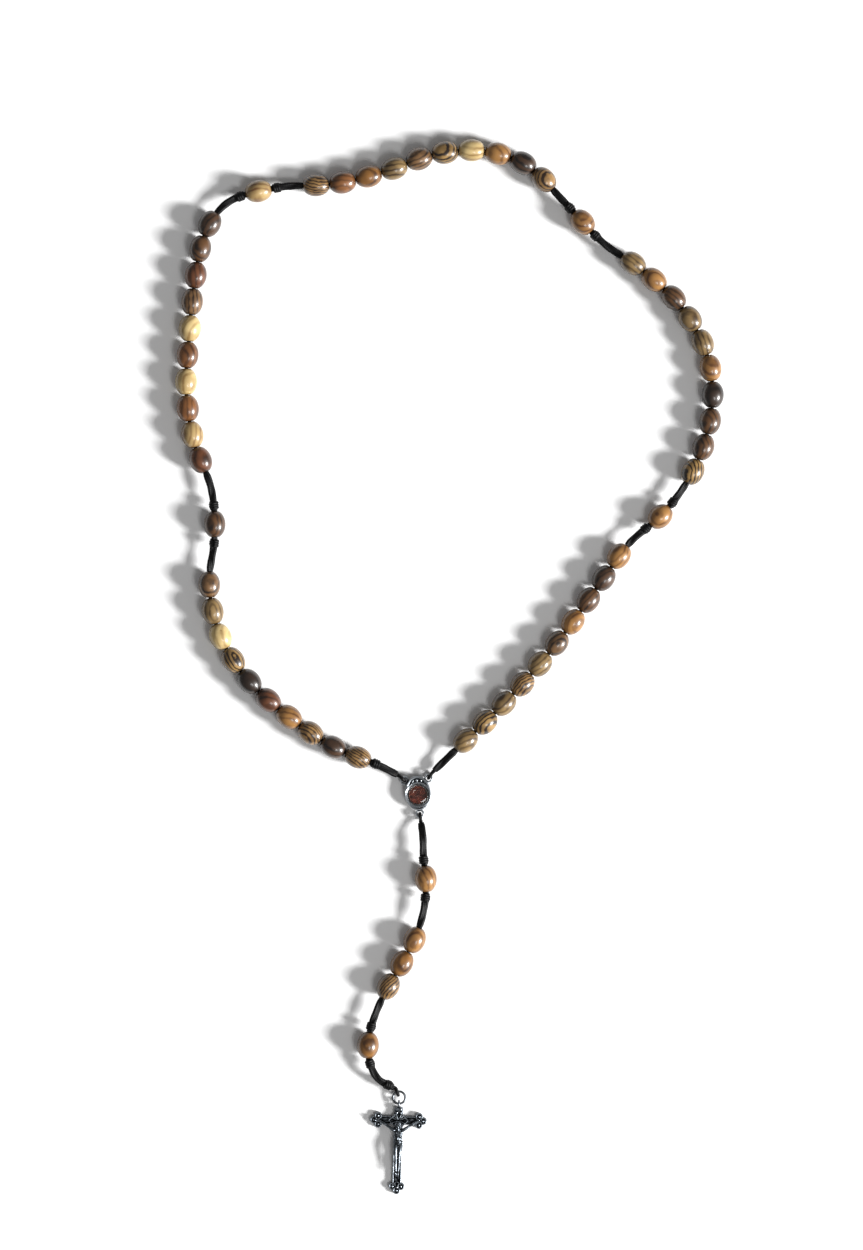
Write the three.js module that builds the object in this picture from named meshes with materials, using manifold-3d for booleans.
// A five-decade rosary of oval wooden beads on black cord, with a round relic centrepiece and a
// crucifix, laid out flat. Millimetres, +Z up. The floor is z = 0, and the origin is under the
// middle of the centrepiece, on its flat back.
import * as THREE from 'three';
import { mergeVertices } from 'three/addons/utils/BufferGeometryUtils.js';
import Module from 'manifold-3d';

const wasm = await Module();
wasm.setup();

// Beads
const beadLength = 7.6;
const beadDiameter = 6.8;
const boreLand = 0.25; // width of the flat ring round each end of the bore
const beadSides = 10;
const beadRings = 7; // an odd number, so that one stands at the middle
const beadGap = 0.45; // between two beads that sit side by side
const collarDiameter = 3.4; // joins the beads of the last decade
const beadsPerDecade = 10;
const decades = 5;
const floorClearance = 0.05; // under the beads

// Cord
const cordDiameter = 1.2; // the single cord inside the beads
const doubledDiameter = 2.2; // the doubled, bound cord between the groups
const knotDiameter = 3;
const knotLength = 3;
const tieDiameter = 1; // the cord pulled tight round a metal eye
const bareStep = 5; // between two bends of the single cord, where no bead holds it straight
// The cord that shows before and after each Our Father bead of the loop, from the left eye round.
const bareRuns = [10.7, 12.4, 10.8, 9.9, 9.7, 12.1, 9.2, 9.7];
const pendantRuns = [11.3, 11.2]; // above and below the pendant's three beads
const loopEndRun = 14; // from the tie on the centrepiece to the middle of a decade's first bead
const pendantTopRun = 17.9; // from the tie on the centrepiece to the middle of the next bead
const pendantEndRun = 17.3; // from the last bead's middle to the tie on the jump ring
const cordSides = 8;
const cordGap = 0.4; // between a bead's end and the bound cord

// Centrepiece
const caseWidth = 7.8;
const caseHeight = 10.4;
const caseThickness = 3;
const caseTurn = 5.8; // degrees, how the centrepiece lies
const rimWidth = 0.5;
const rimHeight = 0.4;
const discDiameter = 6.1;
const discDrop = 0.5; // how far the disc's middle is below the middle of the case
const discThickness = 1.1;
const pocketFloor = 0.9; // metal left under the disc
const coverThickness = 0.5;
const coverDome = 0.5;
const crownBeads = 5;
const crownBeadDiameter = 0.9;
const upperEyeAngle = 49; // degrees from +X to the upper right eye
const eyeWire = 0.6;
const eyeBore = 1.5;
const eyeHeight = 1.65; // of the eyes' middles, and of the jump ring, above the floor

// Jump ring
const ringWire = 0.7;
const ringBore = 3;
const ringTieAngle = 110; // degrees from +X to where the cord holds the ring

// Crucifix
const crossHeight = 26.3; // from the top of the post to the foot
const crossSpan = 17.2;
const crossThickness = 1.6;
const postWidth = 2.8;
const armWidth = 2.6;
const armDrop = 4; // from the top of the post to the middle of the arms
const lobeRadius = 1.15;
const lozengeHalf = 3; // half the diagonal of the plate behind the head
const lozengeThickness = 2;
const crossLean = -1.7; // degrees
const bailWidth = 2.2;
const hangerRun = 1.1; // from the middle of the crucifix's eye to the top of the post
const figureLift = 0.15; // between the figure's back and the cross

const roundSides = 28; // of the centrepiece's oval and round outlines

// Fits
const boreSlack = 0.6; // round the single cord in a bead
const slack = 0.25; // round what passes through an eye or a ring
const pocketSlack = 0.15; // round the disc and under and round its cover
const boreDiameter = cordDiameter + 2 * boreSlack;

// The loop's cord from the left eye round to the right eye, seen from above. Each row is a point.
const loopPoints = [
  [-12.4, 8.7], [-25.2, 13.8], [-38.6, 22.9], [-50.8, 33.9], [-59.4, 47.4], [-62.6, 62.8],
  [-61, 77], [-61.9, 91], [-67.2, 105.6], [-69.5, 121], [-68.6, 137], [-67, 153],
  [-63.6, 168.5], [-57, 177.2], [-42, 181.7], [-25, 182.8], [-10, 186.4], [5, 191.6],
  [20, 192.6], [33, 188.2], [43.5, 177.8], [55.5, 165.2], [68, 156.4], [79.5, 145.3],
  [86.9, 131], [88.2, 115.5], [83.3, 98.2], [74.2, 84.6], [63.4, 75], [54.5, 62.8],
  [44.7, 49], [34.8, 36.7], [24.2, 25.3], [13.2, 14.8],
];

// The pendant's cord, from below the lower eye to the jump ring, in the same view.
const pendantPoints = [
  [1.5, -13], [1.7, -19.4], [2.4, -26], [1.9, -34.5], [-0.7, -43.4], [-4.6, -50.9],
  [-9.2, -58.8], [-12.8, -66.6], [-14.9, -74], [-14.6, -81], [-12, -86.2], [-6.7, -89.3],
];

const wood = new THREE.MeshStandardMaterial({ color: 0x8a5f33, roughness: 0.35 });
const nylon = new THREE.MeshStandardMaterial({ color: 0x0c0c0e, roughness: 0.7 });
const silver = new THREE.MeshStandardMaterial({ color: 0x9ba0a4, roughness: 0.35, metalness: 1 });
const soil = new THREE.MeshStandardMaterial({ color: 0x4a1c0a, roughness: 0.8 });
const glass = new THREE.MeshStandardMaterial({ color: 0xe8e4dc, roughness: 0.05 });

const degrees = THREE.MathUtils.degToRad;
const up = new THREE.Vector3(0, 0, 1);
const rosary = new THREE.Group();
rosary.name = 'rosary';

// Turns a closed geometry into a solid that can be joined and cut.
function solidOf(geometry) {
  const bare = geometry.clone();
  bare.deleteAttribute('normal');
  bare.deleteAttribute('uv');
  const merged = mergeVertices(bare, 1e-4);
  const corners = merged.index.array;
  const faces = [];
  for (let i = 0; i < corners.length; i += 3) {
    const [a, b, c] = corners.subarray(i, i + 3);
    if (a !== b && b !== c && c !== a) faces.push(a, b, c);
  }
  const vertProperties = merged.attributes.position.array;
  const triVerts = new Uint32Array(faces);
  return new wasm.Manifold(new wasm.Mesh({ numProp: 3, vertProperties, triVerts }));
}

function geometryOf(solid) {
  const mesh = solid.getMesh();
  const geometry = new THREE.BufferGeometry();
  geometry.setAttribute('position', new THREE.BufferAttribute(mesh.vertProperties, 3));
  geometry.setIndex(new THREE.BufferAttribute(mesh.triVerts, 1));
  geometry.computeVertexNormals();
  return geometry;
}

const joined = (geometries) => geometries.map(solidOf).reduce((all, next) => all.add(next));

function addMesh(parent, name, geometry, material) {
  const mesh = new THREE.Mesh(geometry, material.clone());
  mesh.name = name;
  parent.add(mesh);
  return mesh;
}

// An upright cylinder standing on z = bottom.
function standingCylinder(radius, height, bottom, sides) {
  const geometry = new THREE.CylinderGeometry(radius, radius, height, sides);
  return geometry.rotateX(Math.PI / 2).translate(0, 0, bottom + height / 2);
}

function boxOn(width, depth, height, x, y, bottom) {
  return new THREE.BoxGeometry(width, depth, height).translate(x, y, bottom + height / 2);
}

// ---------- Cord routes ----------

// Half the width of a tie's ring of cord round a metal wire, from the wire's middle.
const tieRadius = (wire) => wire / 2 + slack + tieDiameter / 2;

// Where the case's edge is, from its middle, in a direction given as an angle in radians.
function caseEdge(angle) {
  const x = Math.cos(angle) / (caseWidth / 2);
  const y = Math.sin(angle) / (caseHeight / 2);
  return 1 / Math.hypot(x, y);
}

const eyeRadius = (eyeBore + eyeWire) / 2;

// An eye's place on the case, and the way out of it, for an angle in degrees on the case.
function eyeAt(angleInDegrees) {
  const angle = degrees(angleInDegrees);
  const reach = caseEdge(angle) + eyeBore / 2 + slack;
  const out = new THREE.Vector3(Math.cos(angle), Math.sin(angle), 0);
  const centre = out.clone().multiplyScalar(reach).setZ(eyeHeight);
  const turn = degrees(caseTurn);
  return {
    centre,
    placed: centre.clone().applyAxisAngle(up, turn),
    out: out.clone().applyAxisAngle(up, turn),
  };
}

const leftEye = eyeAt(180 - upperEyeAngle);
const rightEye = eyeAt(upperEyeAngle);
const lowerEye = eyeAt(-90);

// The middle of a tie on an eye, and the point beyond it where the cord leaves.
const tieOn = (eye) => eye.placed.clone().addScaledVector(eye.out, eyeRadius);
const leaves = (eye) => tieOn(eye).addScaledVector(eye.out, tieRadius(eyeWire));

const cordHeight = beadDiameter / 2 + floorClearance;
const pitch = beadLength + beadGap;
const stepOver = (bareRun) => beadLength + bareRun; // between two beads with bare cord between
const sum = (values) => values.reduce((total, value) => total + value, 0);

// A smooth route through points that are scaled until the route has the length that is needed.
// place(point, scale) puts one point, and the first and last entries may already be vectors.
function fittedRoute(points, place, length) {
  let scale = 1;
  let route;
  for (let pass = 0; pass < 20; pass += 1) {
    const placed = points.map((point) => (point.isVector3 ? point : place(point, scale)));
    route = new THREE.CatmullRomCurve3(placed, false, 'centripetal');
    route.arcLengthDivisions = 1500;
    scale *= length / route.getLength();
  }
  return route;
}

const decadeLength = (beadsPerDecade - 1) * pitch;
const loopLength = 2 * loopEndRun + decades * decadeLength + sum(bareRuns.map(stepOver));
const loopRoute = fittedRoute(
  [leaves(leftEye), ...loopPoints, leaves(rightEye)],
  ([x, y], scale) => new THREE.Vector3(x * scale, y * scale, cordHeight),
  loopLength,
);

const pendantStart = leaves(lowerEye);
const pendantLength = pendantTopRun + sum(pendantRuns.map(stepOver)) + 2 * pitch + pendantEndRun;
const pendantRoute = fittedRoute(
  [pendantStart, ...pendantPoints],
  ([x, y], scale) => {
    const last = y === pendantPoints.at(-1)[1];
    const point = new THREE.Vector3(x, y, last ? eyeHeight : cordHeight);
    const flat = point.sub(pendantStart);
    return new THREE.Vector3(flat.x * scale, flat.y * scale, flat.z).add(pendantStart);
  },
  pendantLength,
);

// A piece of a route between two distances along it.
class Stretch extends THREE.Curve {
  constructor(route, from, to) {
    super();
    this.route = route;
    this.from = from / route.getLength();
    this.to = to / route.getLength();
  }

  getPoint(t, target = new THREE.Vector3()) {
    return this.route.getPointAt(THREE.MathUtils.lerp(this.from, this.to, t), target);
  }
}

// The single cord between two distances along a route: straight through each bead, and following
// the route between them. Its rings stand at its bends.
class ThreadedCord extends THREE.Curve {
  constructor(route, from, to, beads) {
    super();
    const along = (distance) => route.getPointAt(Math.min(distance / route.getLength(), 1));
    const points = [];
    const addBare = (start, end) => {
      const parts = Math.ceil((end - start) / bareStep);
      for (let part = 1; part < parts; part += 1) {
        points.push(along(start + ((end - start) * part) / parts));
      }
    };
    let bareFrom = from;
    points.push(along(from));
    for (const distance of beads) {
      const half = route.getTangentAt(distance / route.getLength()).multiplyScalar(beadLength / 2);
      addBare(bareFrom, distance - beadLength / 2);
      points.push(along(distance).sub(half), along(distance).add(half));
      bareFrom = distance + beadLength / 2;
    }
    addBare(bareFrom, to);
    points.push(along(to));
    this.bends = points;
  }

  getPointAt(share) {
    return this.bends[Math.round(share * (this.bends.length - 1))].clone();
  }

  getTangentAt(share) {
    const last = this.bends.length - 1;
    const bend = Math.round(share * last);
    const [here, before, after] = [bend, Math.max(bend - 1, 0), Math.min(bend + 1, last)]
      .map((index) => this.bends[index]);
    const arriving = here.clone().sub(before).normalize();
    return after.clone().sub(here).normalize().add(arriving).normalize();
  }
}

const threadedTube = (cord, diameter) => tube(cord, diameter, cord.bends.length - 1);

function tube(curve, diameter, steps) {
  const section = new THREE.Shape();
  for (let side = 0; side < cordSides; side += 1) {
    const angle = ((side + 0.5) / cordSides) * 2 * Math.PI;
    const x = (diameter / 2) * Math.cos(angle);
    const y = (diameter / 2) * Math.sin(angle);
    if (side === 0) section.moveTo(x, y);
    else section.lineTo(x, y);
  }
  section.closePath();
  return new THREE.ExtrudeGeometry(section, { steps, extrudePath: curve, bevelEnabled: false });
}

// ---------- Beads ----------

// An oval outline, turned about the bore's axis and cut off square where it has narrowed to the
// flat lands round the bore.
function beadProfile() {
  const bore = boreDiameter / 2;
  const half = beadLength / 2;
  const radius = beadDiameter / 2;
  const cutOff = Math.asin((bore + boreLand) / radius);
  const outline = [[bore, -half]];
  for (let ring = 0; ring < beadRings; ring += 1) {
    const angle = THREE.MathUtils.lerp(cutOff, Math.PI - cutOff, ring / (beadRings - 1));
    outline.push([radius * Math.sin(angle), (-half * Math.cos(angle)) / Math.cos(cutOff)]);
  }
  outline.push([bore, half], [bore, -half]);
  return outline.map(([x, y]) => new THREE.Vector2(x, y));
}

const beadShape = new THREE.LatheGeometry(beadProfile(), beadSides);

function placeOn(object, route, distance) {
  const share = distance / route.getLength();
  object.position.copy(route.getPointAt(share));
  object.quaternion.setFromUnitVectors(new THREE.Vector3(0, 1, 0), route.getTangentAt(share));
  return object;
}

// Adds one bead and returns its distance along the route.
function addBead(name, route, distance) {
  placeOn(addMesh(rosary, name, beadShape.clone(), wood), route, distance);
  return distance;
}

// Ten beads that share one solid: short collars join them, and one bore follows the cord. Returns
// their distances along the route.
function addJoinedDecade(name, route, first) {
  const half = beadLength / 2;
  const solidBead = new THREE.LatheGeometry(
    [new THREE.Vector2(0, -half), ...beadProfile().slice(1, -2), new THREE.Vector2(0, half)],
    beadSides,
  );
  const radius = collarDiameter / 2;
  const collar = new THREE.CylinderGeometry(radius, radius, 3 * beadGap, beadSides);
  const place = new THREE.Object3D();
  const pieces = [];
  for (let bead = 0; bead < beadsPerDecade; bead += 1) {
    placeOn(place, route, first + bead * pitch).updateMatrix();
    pieces.push(solidBead.clone().applyMatrix4(place.matrix));
    if (bead === 0) continue;
    placeOn(place, route, first + (bead - 0.5) * pitch).updateMatrix();
    pieces.push(collar.clone().applyMatrix4(place.matrix));
  }
  const beads = Array.from({ length: beadsPerDecade }, (_, bead) => first + bead * pitch);
  const bore = new ThreadedCord(route, first - pitch, beads.at(-1) + pitch, beads);
  const cut = solidOf(threadedTube(bore, boreDiameter));
  addMesh(rosary, name, geometryOf(joined(pieces).subtract(cut)), wood);
  return beads;
}

// ---------- Cord solids ----------

// A ring of cord round a metal wire, upright, in the plane of the cord's own direction.
function tieRing(centre, out, wire) {
  const ring = new THREE.TorusGeometry(tieRadius(wire), tieDiameter / 2, cordSides, 10);
  ring.rotateX(Math.PI / 2).rotateZ(Math.atan2(out.y, out.x));
  return ring.translate(centre.x, centre.y, centre.z);
}

// A bound stretch between two distances along a route, with a knot at one end, at both or at none.
function boundRun(route, from, to, knotAtStart, knotAtEnd) {
  const start = from + (knotAtStart ? knotLength / 2 : 0);
  const end = to - (knotAtEnd ? knotLength / 2 : 0);
  const pieces = [tube(new Stretch(route, start, end), doubledDiameter, 2)];
  const place = new THREE.Object3D();
  for (const distance of [...(knotAtStart ? [start] : []), ...(knotAtEnd ? [end] : [])]) {
    const knot = new THREE.SphereGeometry(knotDiameter / 2, cordSides, 4);
    knot.scale(1, knotLength / knotDiameter, 1);
    placeOn(place, route, distance).updateMatrix();
    pieces.push(knot.applyMatrix4(place.matrix));
  }
  return pieces;
}

const beadReach = beadLength / 2 + cordGap; // from a bead's middle to the bound cord's end
const tieTail = 1.2; // from a tie to where the bound cord begins

// ---------- The loop: five decades with an Our Father bead between each two ----------

function addLoop() {
  const pieces = [];
  const beads = [];
  let distance = loopEndRun;
  let bareFrom = tieTail;
  for (let decade = 1; decade <= decades; decade += 1) {
    const isFirst = decade === 1;
    pieces.push(...boundRun(loopRoute, bareFrom, distance - beadReach, !isFirst, isFirst));
    if (decade === decades) {
      beads.push(...addJoinedDecade(`decade_${decade}_beads`, loopRoute, distance));
    }
    for (let bead = 1; bead <= beadsPerDecade && decade < decades; bead += 1) {
      const name = `decade_${decade}_bead_${String(bead).padStart(2, '0')}`;
      beads.push(addBead(name, loopRoute, distance + (bead - 1) * pitch));
    }
    distance += decadeLength;
    bareFrom = distance + beadReach;
    if (decade < decades) {
      distance += stepOver(bareRuns[2 * decade - 2]);
      beads.push(addBead(`our_father_${decade}`, loopRoute, distance));
      pieces.push(...boundRun(loopRoute, bareFrom, distance - beadReach, false, true));
      bareFrom = distance + beadReach;
      distance += stepOver(bareRuns[2 * decade - 1]);
    }
  }
  pieces.push(...boundRun(loopRoute, bareFrom, loopLength - tieTail, false, false));
  pieces.push(threadedTube(new ThreadedCord(loopRoute, 0, loopLength, beads), cordDiameter));
  for (const eye of [leftEye, rightEye]) pieces.push(tieRing(tieOn(eye), eye.out, eyeWire));
  addMesh(rosary, 'loop_cord', geometryOf(joined(pieces)), nylon);
}

// ---------- The pendant: one bead, three beads and one bead below the centrepiece ----------

const ringRadius = (ringBore + ringWire) / 2;
const ringOut = new THREE.Vector3(Math.cos(degrees(ringTieAngle)), Math.sin(degrees(ringTieAngle)), 0);
const ringTie = pendantRoute.getPointAt(1).addScaledVector(ringOut, -tieRadius(ringWire));
const ringCentre = ringTie.clone().addScaledVector(ringOut, -ringRadius);

function addPendantStrand() {
  const upper = pendantTopRun;
  const firstOfThree = upper + stepOver(pendantRuns[0]);
  const lastOfThree = firstOfThree + 2 * pitch;
  const lower = lastOfThree + stepOver(pendantRuns[1]);
  const beads = [
    addBead('our_father_5', pendantRoute, upper),
    addBead('hail_mary_1', pendantRoute, firstOfThree),
    addBead('hail_mary_2', pendantRoute, firstOfThree + pitch),
    addBead('hail_mary_3', pendantRoute, lastOfThree),
    addBead('our_father_6', pendantRoute, lower),
  ];
  const threaded = new ThreadedCord(pendantRoute, 0, pendantLength, beads);
  const pieces = [
    threadedTube(threaded, cordDiameter),
    ...boundRun(pendantRoute, tieTail, upper - beadReach, false, true),
    ...boundRun(pendantRoute, upper + beadReach, firstOfThree - beadReach, true, false),
    ...boundRun(pendantRoute, lastOfThree + beadReach, lower - beadReach, false, true),
    ...boundRun(pendantRoute, lower + beadReach, pendantLength - tieTail, true, true),
    tieRing(tieOn(lowerEye), lowerEye.out, eyeWire),
    tieRing(ringTie, ringOut, ringWire),
  ];
  addMesh(rosary, 'pendant_cord', geometryOf(joined(pieces)), nylon);
}

// ---------- The centrepiece ----------

function addCentrepiece() {
  const group = new THREE.Group();
  group.rotation.z = degrees(caseTurn);
  rosary.add(group);

  const oval = (shrink, height, bottom) => {
    const wide = caseWidth / 2 - shrink;
    const tall = caseHeight / 2 - shrink;
    return standingCylinder(1, height, bottom, roundSides).scale(wide, tall, 1);
  };
  const bezelRadius = discDiameter / 2 + pocketSlack + rimWidth;
  const bezel = standingCylinder(bezelRadius, caseThickness, 0, roundSides).translate(0, -discDrop, 0);
  const plateTop = caseThickness - rimHeight;
  let body = solidOf(oval(0, caseThickness, 0));
  body = body.subtract(solidOf(oval(rimWidth, caseThickness, plateTop)));
  body = body.add(solidOf(bezel).intersect(solidOf(oval(0, caseThickness, 0))));

  // Crown beads in the gap above the disc, and a leaf with a vein below it.
  const crownArc = bezelRadius + crownBeadDiameter / 2;
  for (let bead = 0; bead < crownBeads; bead += 1) {
    const angle = degrees(90 + (bead - (crownBeads - 1) / 2) * 17);
    const ball = new THREE.SphereGeometry(crownBeadDiameter / 2, 6, 4);
    ball.translate(crownArc * Math.cos(angle), crownArc * Math.sin(angle) - discDrop, plateTop);
    body = body.add(solidOf(ball));
  }
  const leaf = new THREE.SphereGeometry(1, 8, 4).scale(1.5, 0.55, 0.45);
  leaf.translate(0, -(caseHeight / 2 - rimWidth - 0.3), plateTop);
  body = body.add(solidOf(leaf));

  for (const eye of [leftEye, rightEye, lowerEye]) {
    const ring = new THREE.TorusGeometry(eyeRadius, eyeWire / 2, 6, 12);
    body = body.add(solidOf(ring.translate(eye.centre.x, eye.centre.y, eye.centre.z)));
  }
  const pocketRadius = discDiameter / 2 + pocketSlack;
  const pocket = standingCylinder(pocketRadius, caseThickness, pocketFloor, roundSides);
  body = body.subtract(solidOf(pocket.translate(0, -discDrop, 0)));
  addMesh(group, 'centrepiece_case', geometryOf(body), silver);

  const discBottom = pocketFloor + pocketSlack;
  const disc = standingCylinder(discDiameter / 2, discThickness, discBottom, roundSides);
  addMesh(group, 'soil_disc', disc.translate(0, -discDrop, 0), soil);

  const coverBottom = pocketFloor + discThickness + 2 * pocketSlack;
  const coverRadius = discDiameter / 2;
  const cover = [new THREE.Vector2(0, 0), new THREE.Vector2(coverRadius, 0)];
  for (let ring = 0; ring <= 4; ring += 1) {
    const angle = (ring / 4) * (Math.PI / 2);
    const height = coverThickness + coverDome * Math.sin(angle);
    cover.push(new THREE.Vector2(coverRadius * Math.cos(angle), height));
  }
  cover.at(-1).setX(0);
  const dome = new THREE.LatheGeometry(cover, roundSides).rotateX(Math.PI / 2);
  addMesh(group, 'clear_cover', dome.translate(0, -discDrop, coverBottom), glass);
}

// ---------- The jump ring and the crucifix ----------

function addJumpRing() {
  const ring = addMesh(
    rosary,
    'jump_ring',
    new THREE.TorusGeometry(ringRadius, ringWire / 2, 8, 20),
    silver,
  );
  ring.position.copy(ringCentre);
}

// Three round lobes at the end of an arm that points along +Y from (0, 0).
function trefoil() {
  const spread = 1.1 * lobeRadius;
  return [
    standingCylinder(lobeRadius, crossThickness, 0, 12),
    standingCylinder(lobeRadius, crossThickness, 0, 12).translate(-spread, -spread, 0),
    standingCylinder(lobeRadius, crossThickness, 0, 12).translate(spread, -spread, 0),
  ];
}

// The crucifix's own frame has its origin at the middle of its eye and hangs towards -Y.
function addCrucifix() {
  const lean = degrees(crossLean);
  const group = new THREE.Group();
  const down = new THREE.Vector3(0, -1, 0).applyAxisAngle(up, lean);
  group.position.copy(ringCentre).addScaledVector(down, ringRadius).setZ(0);
  group.rotation.z = lean;
  rosary.add(group);

  const top = -hangerRun;
  const armY = top - armDrop;
  const footY = top - crossHeight;
  const pieces = [
    boxOn(postWidth, crossHeight - lobeRadius, crossThickness, 0,
      (top + footY + lobeRadius) / 2, 0),
    boxOn(crossSpan - 2 * lobeRadius, armWidth, crossThickness, 0, armY, 0),
    boxOn(lozengeHalf * Math.SQRT2, lozengeHalf * Math.SQRT2, lozengeThickness, 0, 0, 0)
      .rotateZ(Math.PI / 4).translate(0, armY, 0),
  ];
  const armEnd = crossSpan / 2 - lobeRadius;
  const ends = [
    { x: -armEnd, y: armY, turn: Math.PI / 2 },
    { x: armEnd, y: armY, turn: -Math.PI / 2 },
    { x: 0, y: footY + lobeRadius, turn: Math.PI },
  ];
  for (const { x, y, turn } of ends) {
    for (const lobe of trefoil()) pieces.push(lobe.rotateZ(turn).translate(x, y, 0));
  }

  // The bail over the post and the upright eye that the jump ring passes through.
  const crossEye = ringWire / 2 + slack + eyeWire / 2;
  const eye = new THREE.TorusGeometry(crossEye, eyeWire / 2, 6, 12).rotateY(Math.PI / 2);
  pieces.push(eye.translate(0, 0, eyeHeight));
  pieces.push(boxOn(bailWidth, 1, crossThickness + 0.6, 0, top - 0.5, 0));
  addMesh(group, 'crucifix', geometryOf(joined(pieces)), silver);
  addFigure(group, armY);
}

// A tapered round limb between two points, each a [x, y, z, radius].
function limb([ax, ay, az, ar], [bx, by, bz, br]) {
  const from = new THREE.Vector3(ax, ay, az);
  const to = new THREE.Vector3(bx, by, bz);
  const length = from.distanceTo(to);
  const geometry = new THREE.CylinderGeometry(br, ar, length, 6, 1);
  const turn = new THREE.Quaternion().setFromUnitVectors(
    new THREE.Vector3(0, 1, 0),
    to.clone().sub(from).normalize(),
  );
  geometry.applyQuaternion(turn);
  return geometry.translate((ax + bx) / 2, (ay + by) / 2, (az + bz) / 2);
}

function ball(x, y, z, rx, ry, rz) {
  return new THREE.SphereGeometry(1, 8, 5).scale(rx, ry, rz).translate(x, y, z);
}

// The figure, with its arms raised to the ends of the cross. y runs down from the arms' middle.
function addFigure(group, armY) {
  const back = lozengeThickness + figureLift;
  const handX = crossSpan / 2 - 2.2 * lobeRadius;
  const shoulderX = 1.35;
  const shoulderY = armY - 2.7;
  const hipY = armY - 6.6;
  const kneeY = armY - 11;
  const footY = armY - 16.2;
  const pieces = [
    ball(-0.1, armY - 1.2, back + 0.75, 0.85, 1.15, 0.85),
    ball(0, armY - 4.3, back + 0.2, 1.45, 2.2, 0.95),
    ball(0, hipY, back + 0.2, 1.45, 1.15, 1),
    limb([0, shoulderY, back + 0.4, 0.6], [-0.1, armY - 1.4, back + 0.7, 0.5]),
  ];
  for (const side of [-1, 1]) {
    const hand = [side * handX, armY + 0.2, back + 0.25, 0.4];
    const elbow = [side * 3.4, armY - 1.5, back + 0.3, 0.5];
    const shoulder = [side * shoulderX, shoulderY - 0.3, back + 0.4, 0.7];
    const thigh = [side * 0.6, hipY, back + 0.3, 0.75];
    const knee = [side * 0.5, kneeY, back + 0.7, 0.6];
    const foot = [side * 0.25, footY, back + 0.2, 0.42];
    pieces.push(limb(hand, elbow), ball(...elbow.slice(0, 3), 0.52, 0.52, 0.52));
    pieces.push(limb(elbow, shoulder), ball(...shoulder.slice(0, 3), 0.72, 0.72, 0.72));
    pieces.push(limb(thigh, knee), ball(...knee.slice(0, 3), 0.62, 0.62, 0.62));
    pieces.push(limb(knee, foot));
  }
  const behind = boxOn(2 * crossSpan, 2 * crossHeight, 10, 0, armY, back - 10);
  addMesh(group, 'corpus', geometryOf(joined(pieces).subtract(solidOf(behind))), silver);
}

addLoop();
addPendantStrand();
addCentrepiece();
addJumpRing();
addCrucifix();

export default rosary;
